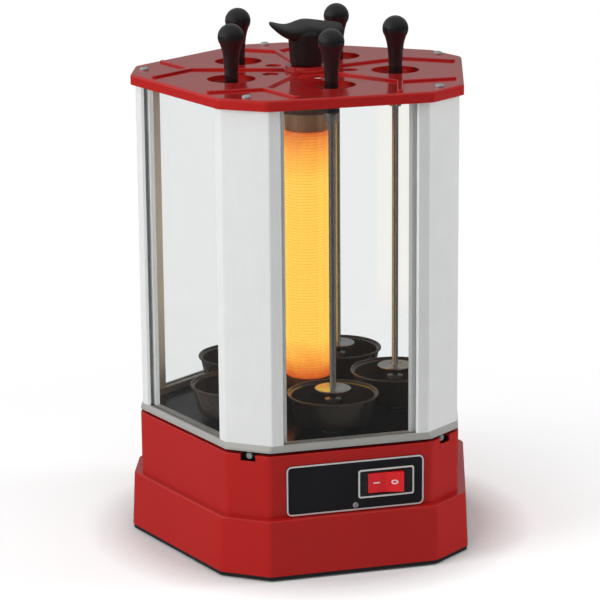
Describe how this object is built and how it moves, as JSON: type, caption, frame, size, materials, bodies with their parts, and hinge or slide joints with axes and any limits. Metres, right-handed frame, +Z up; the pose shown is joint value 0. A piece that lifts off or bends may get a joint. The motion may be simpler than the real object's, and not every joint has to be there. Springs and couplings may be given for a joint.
{
  "type": "electric skewer grill",
  "caption": "Upright five-sided electric skewer grill with a glazed lift-off hood, turning drip cups and skewers round a central heater, a wing knob and a rocker switch.",
  "frame": {"origin": "on the surface that the grill stands on, under the main vertical axis through the heater and knob", "axes": "+Z up along the main axis, -Y towards the face with the switch, +X to the right of that face"},
  "size_m": [0.279, 0.2662, 0.409],
  "materials": {
    "red_enamel": "gloss baked enamel on pressed steel",
    "black_sheet": "semi-gloss black painted sheet steel",
    "floor_enamel": "gloss black enamel",
    "nonstick": "dark non-stick coated steel",
    "satin_aluminium": "satin anodised extrusion",
    "polished_steel": "polished stainless steel",
    "clear_glass": "clear tempered glass",
    "quartz_glass": "clear quartz tube",
    "ceramic": null,
    "heating_wire": "resistance wire, glowing in use",
    "black_plastic": "gloss black heat-resistant plastic",
    "switch_plastic": "satin black plastic",
    "rocker_red": "translucent red plastic",
    "label_print": "printed dark plate, bare of text",
    "skewer_steel": "stainless steel",
    "screw_steel": "zinc plated steel",
    "brass": "turned brass",
    "bronze_bush": "sintered bronze",
    "gear_nylon": "heat-resistant nylon",
    "motor_case": "plated steel case",
    "rubber": "moulded rubber",
    "terminal_plastic": "moulded terminal strip"
  },
  "bodies": {
    "base": {"feet": "rubber", "bottom_pan": "black_sheet", "pan_screws": "screw_steel", "plinth": "red_enamel", "base_shell": "red_enamel", "label_plate": "label_print", "label_screw": "screw_steel", "switch_frame": "switch_plastic", "floor_tray": "floor_enamel", "corner_screws": "screw_steel", "drive_deck": "black_sheet", "gear_circlip": "screw_steel", "gear_motor": "motor_case", "spindle_bushes": "bronze_bush", "heater_base": "ceramic", "heater_core": "ceramic", "heater_coil": "heating_wire", "heater_glass": "quartz_glass", "heater_cap": "ceramic", "centre_stud": "screw_steel", "cable_gland": "switch_plastic", "terminal_block": "terminal_plastic"},
    "rocker": {"switch_rocker": "rocker_red"},
    "main_drive": {"main_gear": "gear_nylon"},
    "pinion": {"motor_pinion": "gear_nylon"},
    "hood": {"bottom_frame": "polished_steel", "top_plate": "red_enamel", "top_screws": "screw_steel", "corner_post_1": "satin_aluminium", "corner_post_2": "satin_aluminium", "corner_post_3": "satin_aluminium", "corner_post_4": "satin_aluminium", "corner_post_5": "satin_aluminium", "glass_panel_1": "clear_glass", "glass_panel_2": "clear_glass", "glass_panel_3": "clear_glass", "glass_panel_4": "clear_glass", "glass_panel_5": "clear_glass"},
    "wing_knob": {"knob": "black_plastic", "knob_insert": "brass"},
    "spindle_1": {"spindle_1": "gear_nylon"},
    "cup_1": {"drip_cup_1": "nonstick"},
    "skewer_1": {"skewer_1": "skewer_steel", "skewer_handle_1": "black_plastic"},
    "spindle_2": {"spindle_2": "gear_nylon"},
    "cup_2": {"drip_cup_2": "nonstick"},
    "skewer_2": {"skewer_2": "skewer_steel", "skewer_handle_2": "black_plastic"},
    "spindle_3": {"spindle_3": "gear_nylon"},
    "cup_3": {"drip_cup_3": "nonstick"},
    "skewer_3": {"skewer_3": "skewer_steel", "skewer_handle_3": "black_plastic"},
    "spindle_4": {"spindle_4": "gear_nylon"},
    "cup_4": {"drip_cup_4": "nonstick"},
    "skewer_4": {"skewer_4": "skewer_steel", "skewer_handle_4": "black_plastic"},
    "spindle_5": {"spindle_5": "gear_nylon"},
    "cup_5": {"drip_cup_5": "nonstick"},
    "skewer_5": {"skewer_5": "skewer_steel", "skewer_handle_5": "black_plastic"}
  },
  "joints": [
    {"name": "hood_lift", "type": "slide", "parent": "base", "child": "hood", "axis": [0, 0, 1], "range_m": [0, 0.33]},
    {"name": "knob_turn", "type": "hinge", "parent": "hood", "child": "wing_knob", "pos_m": [0, 0, 0.38], "axis": [0, 0, 1], "continuous": true},
    {"name": "switch_rock", "type": "hinge", "parent": "base", "child": "rocker", "pos_m": [0.0267, -0.1176, 0.0695], "axis": [0, 0, 1], "range_deg": [0, 16]},
    {"name": "main_gear_turn", "type": "hinge", "parent": "base", "child": "main_drive", "pos_m": [0, 0, 0.066], "axis": [0, 0, 1], "continuous": true},
    {"name": "pinion_turn", "type": "hinge", "parent": "base", "child": "pinion", "pos_m": [0, 0.05925, 0.066], "axis": [0, 0, 1], "continuous": true},
    {"name": "spindle_turn_1", "type": "hinge", "parent": "base", "child": "spindle_1", "pos_m": [0, -0.06825, 0.066], "axis": [0, 0, 1], "continuous": true},
    {"name": "cup_lift_1", "type": "slide", "parent": "spindle_1", "child": "cup_1", "axis": [0, 0, 1], "range_m": [0, 0.2]},
    {"name": "skewer_lift_1", "type": "slide", "parent": "cup_1", "child": "skewer_1", "axis": [0, 0, 1], "range_m": [0, 0.3]},
    {"name": "spindle_turn_2", "type": "hinge", "parent": "base", "child": "spindle_2", "pos_m": [0.06491, -0.02109, 0.066], "axis": [0, 0, 1], "continuous": true},
    {"name": "cup_lift_2", "type": "slide", "parent": "spindle_2", "child": "cup_2", "axis": [0, 0, 1], "range_m": [0, 0.2]},
    {"name": "skewer_lift_2", "type": "slide", "parent": "cup_2", "child": "skewer_2", "axis": [0, 0, 1], "range_m": [0, 0.3]},
    {"name": "spindle_turn_3", "type": "hinge", "parent": "base", "child": "spindle_3", "pos_m": [0.04012, 0.05522, 0.066], "axis": [0, 0, 1], "continuous": true},
    {"name": "cup_lift_3", "type": "slide", "parent": "spindle_3", "child": "cup_3", "axis": [0, 0, 1], "range_m": [0, 0.2]},
    {"name": "skewer_lift_3", "type": "slide", "parent": "cup_3", "child": "skewer_3", "axis": [0, 0, 1], "range_m": [0, 0.3]},
    {"name": "spindle_turn_4", "type": "hinge", "parent": "base", "child": "spindle_4", "pos_m": [-0.04012, 0.05522, 0.066], "axis": [0, 0, 1], "continuous": true},
    {"name": "cup_lift_4", "type": "slide", "parent": "spindle_4", "child": "cup_4", "axis": [0, 0, 1], "range_m": [0, 0.2]},
    {"name": "skewer_lift_4", "type": "slide", "parent": "cup_4", "child": "skewer_4", "axis": [0, 0, 1], "range_m": [0, 0.3]},
    {"name": "spindle_turn_5", "type": "hinge", "parent": "base", "child": "spindle_5", "pos_m": [-0.06491, -0.02109, 0.066], "axis": [0, 0, 1], "continuous": true},
    {"name": "cup_lift_5", "type": "slide", "parent": "spindle_5", "child": "cup_5", "axis": [0, 0, 1], "range_m": [0, 0.2]},
    {"name": "skewer_lift_5", "type": "slide", "parent": "cup_5", "child": "skewer_5", "axis": [0, 0, 1], "range_m": [0, 0.3]}
  ],
  "couplings": [
    {"joint": "main_gear_turn", "follows": "pinion_turn", "ratio": -0.25397},
    {"joint": "spindle_turn_1", "follows": "pinion_turn", "ratio": 0.57143},
    {"joint": "spindle_turn_2", "follows": "pinion_turn", "ratio": 0.57143},
    {"joint": "spindle_turn_3", "follows": "pinion_turn", "ratio": 0.57143},
    {"joint": "spindle_turn_4", "follows": "pinion_turn", "ratio": 0.57143},
    {"joint": "spindle_turn_5", "follows": "pinion_turn", "ratio": 0.57143}
  ]
}
